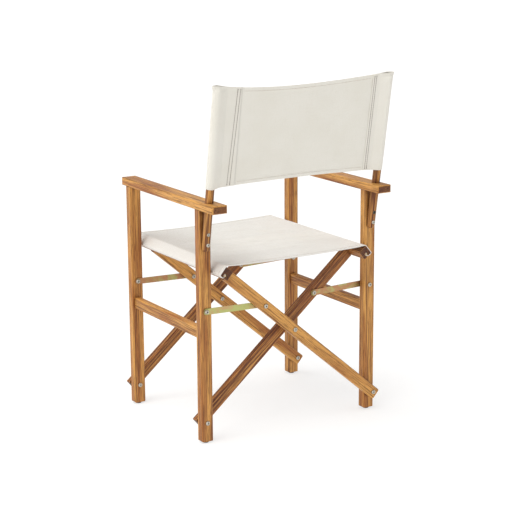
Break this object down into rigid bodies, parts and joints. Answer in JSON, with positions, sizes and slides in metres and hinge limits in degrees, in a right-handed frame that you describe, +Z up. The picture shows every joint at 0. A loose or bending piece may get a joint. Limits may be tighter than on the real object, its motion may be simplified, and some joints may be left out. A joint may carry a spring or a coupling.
{
  "type": "director chair",
  "caption": "Folding wooden director chair with flat armrests, a double scissor of cross bars, steel links, a canvas seat and a canvas back on raked round posts.",
  "frame": {"origin": "under the middle of the chair, on the floor: the middle of its bounding box in X and Y, and its lowest point in Z", "axes": "+Z up, +X towards the sitter's left, +Y towards the rear"},
  "size_m": [0.5064, 0.4892, 0.8702],
  "materials": {
    "oiled_acacia": "oiled acacia, golden brown with darker streaks",
    "plain_wood": "plain hardwood dowel",
    "canvas": "natural off-white cotton canvas",
    "fastener_steel": "zinc-plated steel",
    "link_steel": "yellow-passivated flat steel",
    "glide_plastic": "dark brown plastic"
  },
  "bodies": {
    "left_frame": {"leg_front_left": "oiled_acacia", "leg_rear_left": "oiled_acacia", "armrest_left": "oiled_acacia", "side_rail_left": "oiled_acacia", "back_post_left": "oiled_acacia", "foot_glides_left": "glide_plastic", "arm_dowels_left": "plain_wood", "side_rail_dowels_left": "plain_wood", "post_bolts_left": "fastener_steel", "pivot_bolts_left": "fastener_steel", "pivot_nuts_left": "fastener_steel", "pivot_washers_left": "fastener_steel", "link_bolts_left": "fastener_steel", "link_nuts_left": "fastener_steel", "back_canvas": "canvas"},
    "right_frame": {"leg_front_right": "oiled_acacia", "leg_rear_right": "oiled_acacia", "armrest_right": "oiled_acacia", "side_rail_right": "oiled_acacia", "back_post_right": "oiled_acacia", "foot_glides_right": "glide_plastic", "arm_dowels_right": "plain_wood", "side_rail_dowels_right": "plain_wood", "post_bolts_right": "fastener_steel", "pivot_bolts_right": "fastener_steel", "pivot_nuts_right": "fastener_steel", "pivot_washers_right": "fastener_steel", "link_bolts_right": "fastener_steel", "link_nuts_right": "fastener_steel"},
    "cross_a": {"cross_bar_a_front": "oiled_acacia", "cross_bar_a_rear": "oiled_acacia", "seat_rail_left": "oiled_acacia", "seat_rod_left": "plain_wood", "rail_screws_left": "fastener_steel", "centre_bolts": "fastener_steel", "centre_spacers": "fastener_steel", "centre_nuts": "fastener_steel", "bar_studs_left": "fastener_steel", "seat_canvas": "canvas"},
    "cross_b": {"cross_bar_b_front": "oiled_acacia", "cross_bar_b_rear": "oiled_acacia", "seat_rail_right": "oiled_acacia", "seat_rod_right": "plain_wood", "rail_screws_right": "fastener_steel", "bar_studs_right": "fastener_steel"},
    "link_front_left": {"link_front_left": "link_steel", "link_caps_front_left": "fastener_steel"},
    "link_rear_left": {"link_rear_left": "link_steel", "link_caps_rear_left": "fastener_steel"},
    "link_front_right": {"link_front_right": "link_steel", "link_caps_front_right": "fastener_steel"},
    "link_rear_right": {"link_rear_right": "link_steel", "link_caps_rear_right": "fastener_steel"}
  },
  "joints": [
    {"name": "fold", "type": "hinge", "parent": "left_frame", "child": "cross_b", "pos_m": [0.2365, 0.15237, 0.0505], "axis": [0, 1, 0], "range_deg": [0, 38.12], "deforming": ["seat_canvas", "back_canvas"]},
    {"name": "scissor_centre", "type": "hinge", "parent": "cross_b", "child": "cross_a", "pos_m": [0, 0.15237, 0.252], "axis": [0, 1, 0], "range_deg": [-90, 0]},
    {"name": "right_lower_pivot", "type": "hinge", "parent": "cross_a", "child": "right_frame", "pos_m": [-0.2365, 0.15237, 0.0505], "axis": [0, 1, 0], "range_deg": [0, 38.2]},
    {"name": "link_front_left_pivot", "type": "hinge", "parent": "left_frame", "child": "link_front_left", "pos_m": [0.2365, -0.19863, 0.3278], "axis": [0, 1, 0], "range_deg": [0, 66]},
    {"name": "link_rear_left_pivot", "type": "hinge", "parent": "left_frame", "child": "link_rear_left", "pos_m": [0.2365, 0.15237, 0.3278], "axis": [0, 1, 0], "range_deg": [0, 66]},
    {"name": "link_front_right_pivot", "type": "hinge", "parent": "right_frame", "child": "link_front_right", "pos_m": [-0.2365, -0.19863, 0.3278], "axis": [0, 1, 0], "range_deg": [-66, 0]},
    {"name": "link_rear_right_pivot", "type": "hinge", "parent": "right_frame", "child": "link_rear_right", "pos_m": [-0.2365, 0.15237, 0.3278], "axis": [0, 1, 0], "range_deg": [-66, 0]}
  ],
  "couplings": [
    {"joint": "scissor_centre", "follows": "fold", "ratio": -2.3584},
    {"joint": "right_lower_pivot", "follows": "fold", "ratio": 1},
    {"joint": "link_front_left_pivot", "follows": "fold", "ratio": 1.7304},
    {"joint": "link_rear_left_pivot", "follows": "fold", "ratio": 1.7304},
    {"joint": "link_front_right_pivot", "follows": "fold", "ratio": -1.7304},
    {"joint": "link_rear_right_pivot", "follows": "fold", "ratio": -1.7304}
  ]
}
